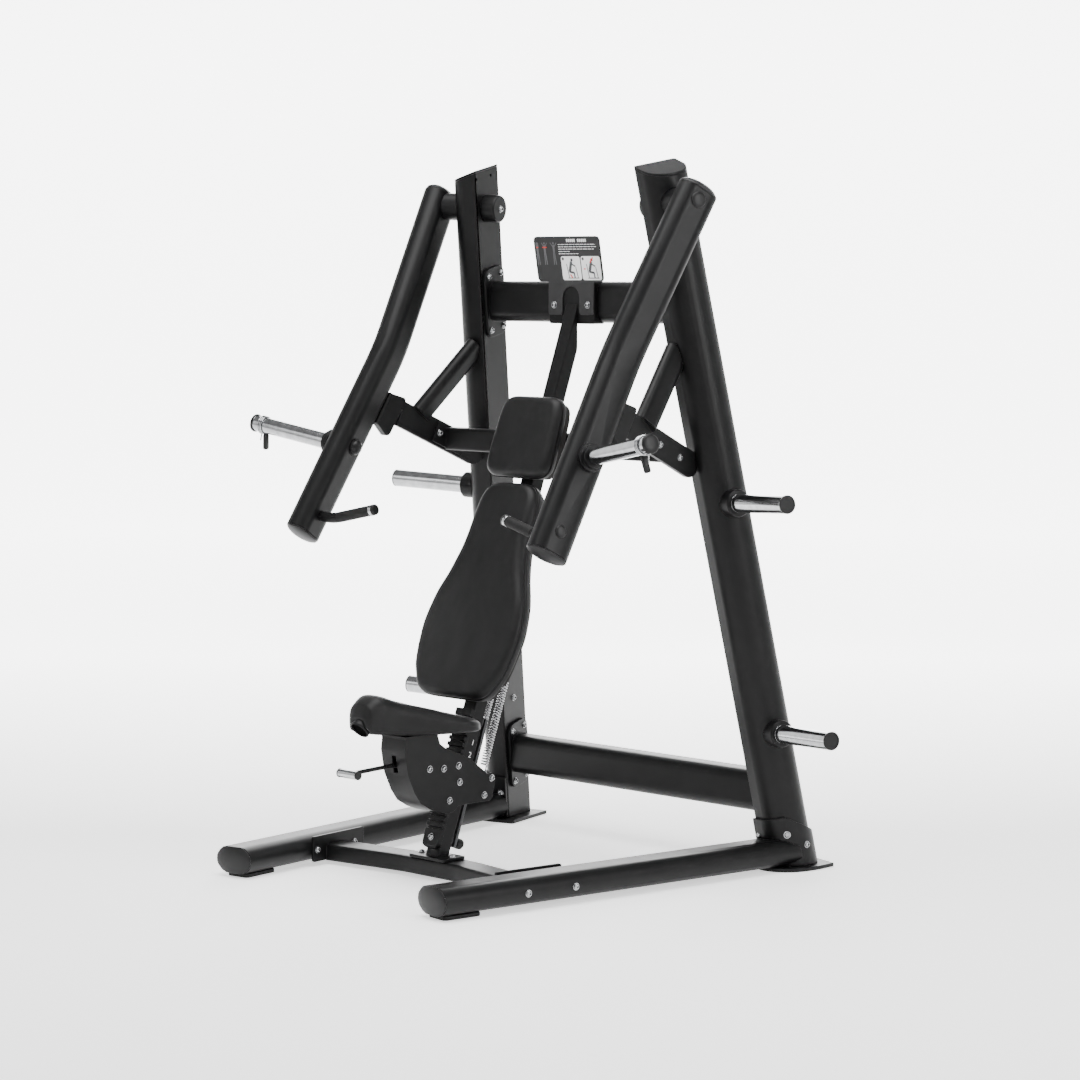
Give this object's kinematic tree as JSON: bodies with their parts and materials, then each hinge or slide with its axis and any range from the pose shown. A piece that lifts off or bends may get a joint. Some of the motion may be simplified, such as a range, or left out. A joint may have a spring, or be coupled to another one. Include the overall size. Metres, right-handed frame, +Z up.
{
  "type": "plate-loaded chest press machine",
  "caption": "Plate-loaded seated chest press: two swinging press arms on leaning uprights, adjustable padded seat, back and head pads, weight pegs and storage pegs.",
  "frame": {"origin": "on the floor under the middle of the machine's bounding box", "axes": "+X to the side the right-hand arm is on, as seen from in front; -Y the way the sitter faces; +Z up"},
  "size_m": [1.5978, 1.2696, 1.8553],
  "materials": {
    "frame_paint": "satin black powder coat",
    "cap_plastic": "fine-grained black plastic",
    "rubber": "matt black rubber",
    "chrome": "polished chrome plate",
    "bright_steel": "drawn bright steel",
    "placard_print": "printed dark sheet",
    "pad_cover": "grained black upholstery vinyl",
    "pad_board": "dark stained plywood backing",
    "glide_plastic": "black nylon",
    "spring_steel": "bright zinc-plated wire"
  },
  "bodies": {
    "frame": {"base_rail_right": "frame_paint", "base_rail_left": "frame_paint", "rail_end_cap_right": "cap_plastic", "rail_end_cap_left": "cap_plastic", "front_foot_right": "rubber", "front_foot_left": "rubber", "base_plate_right": "frame_paint", "base_plate_left": "frame_paint", "foot_sleeve_right": "frame_paint", "foot_sleeve_left": "frame_paint", "upright_right": "frame_paint", "upright_left": "frame_paint", "upright_cap_right": "cap_plastic", "upright_cap_left": "cap_plastic", "pivot_housing_right": "frame_paint", "pivot_housing_left": "frame_paint", "storage_peg_upper_right": "chrome", "storage_peg_upper_left": "chrome", "storage_peg_lower_right": "chrome", "storage_peg_lower_left": "chrome", "stop_bracket_right": "frame_paint", "stop_bracket_left": "frame_paint", "bumper_right": "rubber", "bumper_left": "rubber", "upper_crossbar": "frame_paint", "lower_crossbar": "frame_paint", "mid_crossbar": "frame_paint", "front_cross_tube": "frame_paint", "spine": "frame_paint", "spine_saddle": "frame_paint", "placard": "placard_print", "ratchet_rack": "frame_paint", "guide_bar": "bright_steel", "guide_stop": "rubber", "back_pad": "pad_cover", "back_board": "pad_board", "head_pad": "pad_cover", "head_board": "pad_board", "spring_left": "spring_steel", "spring_right": "spring_steel"},
    "arm_right": {"arm_tube_right": "frame_paint", "arm_top_cap_right": "cap_plastic", "arm_bottom_cap_right": "cap_plastic", "weight_peg_right": "chrome", "handle_bar_right": "frame_paint", "handle_grip_right": "rubber"},
    "arm_left": {"arm_tube_left": "frame_paint", "arm_top_cap_left": "cap_plastic", "arm_bottom_cap_left": "cap_plastic", "weight_peg_left": "chrome", "handle_bar_left": "frame_paint", "handle_grip_left": "rubber"},
    "clip_right": {"spring_clip_right": "cap_plastic"},
    "clip_left": {"spring_clip_left": "cap_plastic"},
    "seat": {"seat_carriage": "frame_paint", "front_glide": "glide_plastic", "rear_glide": "glide_plastic", "seat_pad": "pad_cover"},
    "lever": {"seat_lever": "chrome"}
  },
  "joints": [
    {"name": "arm_right_pivot", "type": "hinge", "parent": "frame", "child": "arm_right", "pos_m": [0.47359, 0.18919, 1.74187], "axis": [-0.9591, 0.2786, -0.0506], "range_deg": [0, 45]},
    {"name": "arm_left_pivot", "type": "hinge", "parent": "frame", "child": "arm_left", "pos_m": [-0.47359, 0.18919, 1.74187], "axis": [-0.9591, -0.2786, 0.0506], "range_deg": [0, 45]},
    {"name": "clip_right_slide", "type": "slide", "parent": "arm_right", "child": "clip_right", "axis": [0.9626, -0.2051, 0.1772], "range_m": [-0.18, 0.012]},
    {"name": "clip_left_slide", "type": "slide", "parent": "arm_left", "child": "clip_left", "axis": [-0.9626, -0.2051, 0.1772], "range_m": [-0.18, 0.012]},
    {"name": "seat_slide", "type": "slide", "parent": "frame", "child": "seat", "axis": [0, 0.342, 0.9397], "range_m": [-0.08, 0.025], "deforming": ["spring_left", "spring_right"]},
    {"name": "seat_lever_pivot", "type": "hinge", "parent": "seat", "child": "lever", "pos_m": [0, -0.32265, 0.297], "axis": [-1, 0, 0], "range_deg": [0, 8], "stiffness_Nm_per_rad": 3}
  ]
}
